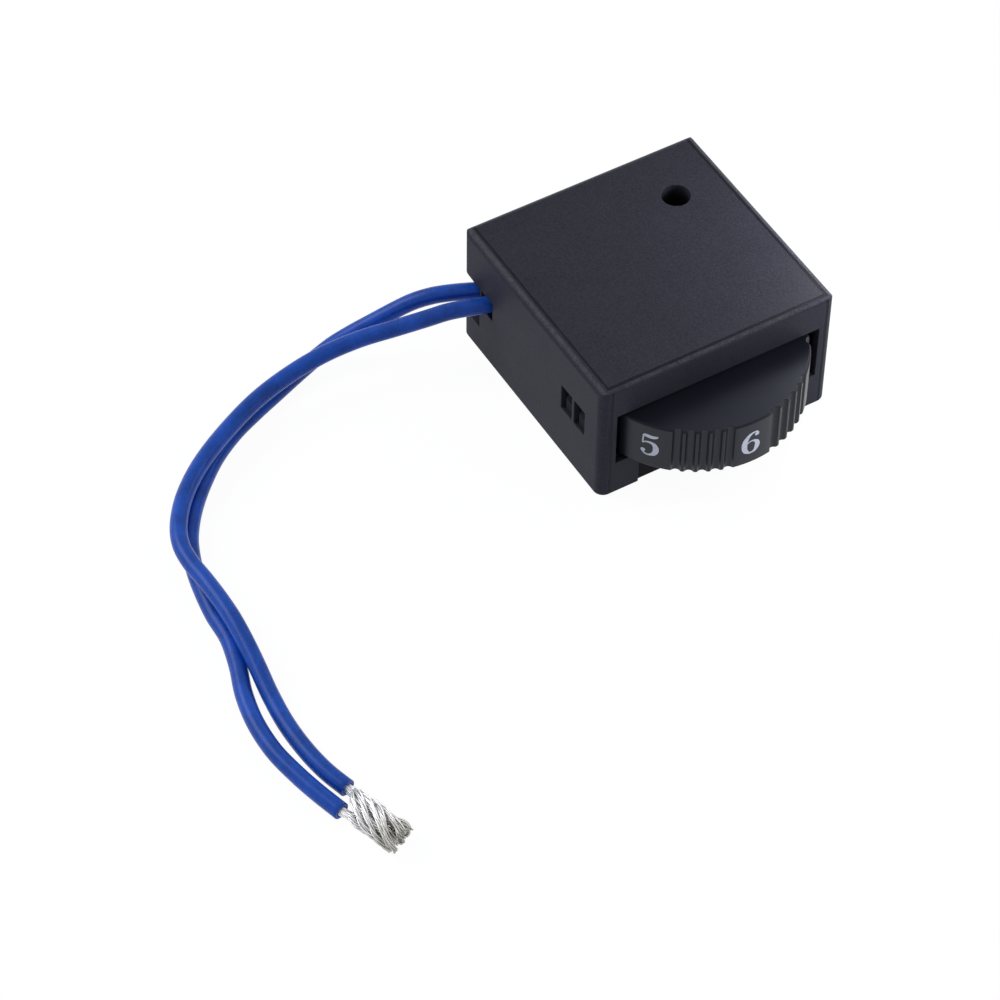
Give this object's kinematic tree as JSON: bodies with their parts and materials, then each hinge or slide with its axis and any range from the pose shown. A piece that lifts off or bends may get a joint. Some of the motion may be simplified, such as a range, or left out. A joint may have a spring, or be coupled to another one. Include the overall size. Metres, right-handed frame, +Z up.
{
  "type": "power tool speed switch",
  "caption": "Boxed speed regulator for a power tool: a numbered thumbwheel in a front slot turns a potentiometer, and blue stripped leads come out of the left wall.",
  "frame": {"origin": "middle of the housing's foot, on the surface that the housing stands on", "axes": "+Z up out of the top wall, towards which the mounting hole runs; -Y out of the front face, where the thumbwheel stands out; +X to the right seen from the front"},
  "size_m": [0.084, 0.0687, 0.0176],
  "materials": {
    "housing_plastic": "fine matte mould texture",
    "cover_plastic": "matte",
    "wheel_plastic": "satin",
    "rotor_plastic": "satin",
    "wiper_metal": "bright spring metal",
    "pot_cover_plastic": "matte",
    "pot_base_plastic": "matte",
    "element_laminate": "satin",
    "carbon_film": "matte",
    "silver_film": "satin",
    "terminal_metal": "tinned",
    "board_laminate": "satin",
    "triac_resin": "matte",
    "triac_metal": "tinned",
    "film_case": "gloss",
    "disc_coating": "satin",
    "diac_glass": "gloss",
    "timing_coating": "satin",
    "snubber_coating": "satin",
    "tinned_wire": "tinned",
    "core_metal": "tinned copper strands",
    "solder": "bright solder",
    "blue_insulation": "smooth soft insulation"
  },
  "bodies": {
    "box": {"housing": "housing_plastic", "base_cover": "cover_plastic", "pot_cover": "pot_cover_plastic", "pot_base": "pot_base_plastic", "pot_element": "element_laminate", "pot_track": "carbon_film", "pot_collector": "silver_film", "pot_terminal_1": "terminal_metal", "pot_terminal_2": "terminal_metal", "pot_terminal_3": "terminal_metal", "circuit_board": "board_laminate", "triac_body": "triac_resin", "triac_plate": "triac_metal", "triac_leg_1": "tinned_wire", "triac_leg_2": "tinned_wire", "triac_leg_3": "tinned_wire", "film_capacitor": "film_case", "film_leg_1": "tinned_wire", "film_leg_2": "tinned_wire", "disc_capacitor": "disc_coating", "disc_leg_1": "tinned_wire", "disc_leg_2": "tinned_wire", "diac_body": "diac_glass", "diac_lead_1": "tinned_wire", "diac_lead_2": "tinned_wire", "timing_resistor": "timing_coating", "timing_resistor_lead_1": "tinned_wire", "timing_resistor_lead_2": "tinned_wire", "snubber_resistor": "snubber_coating", "snubber_resistor_lead_1": "tinned_wire", "snubber_resistor_lead_2": "tinned_wire", "core_a": "core_metal", "core_b": "core_metal", "wire_a": "blue_insulation", "wire_b": "blue_insulation", "strands_a": "core_metal", "strands_b": "core_metal", "solder_leads": "solder", "solder_pot": "solder", "solder_triac": "solder", "solder_capacitors": "solder", "solder_resistors": "solder", "solder_diac": "solder"},
    "wheel": {"thumbwheel": "wheel_plastic", "pot_rotor": "rotor_plastic", "pot_wiper": "wiper_metal"}
  },
  "joints": [
    {"name": "wheel_spin", "type": "hinge", "parent": "box", "child": "wheel", "pos_m": [0, -0.0101, 0.0089], "axis": [0, 0, 1], "range_deg": [0, 257.1]}
  ]
}
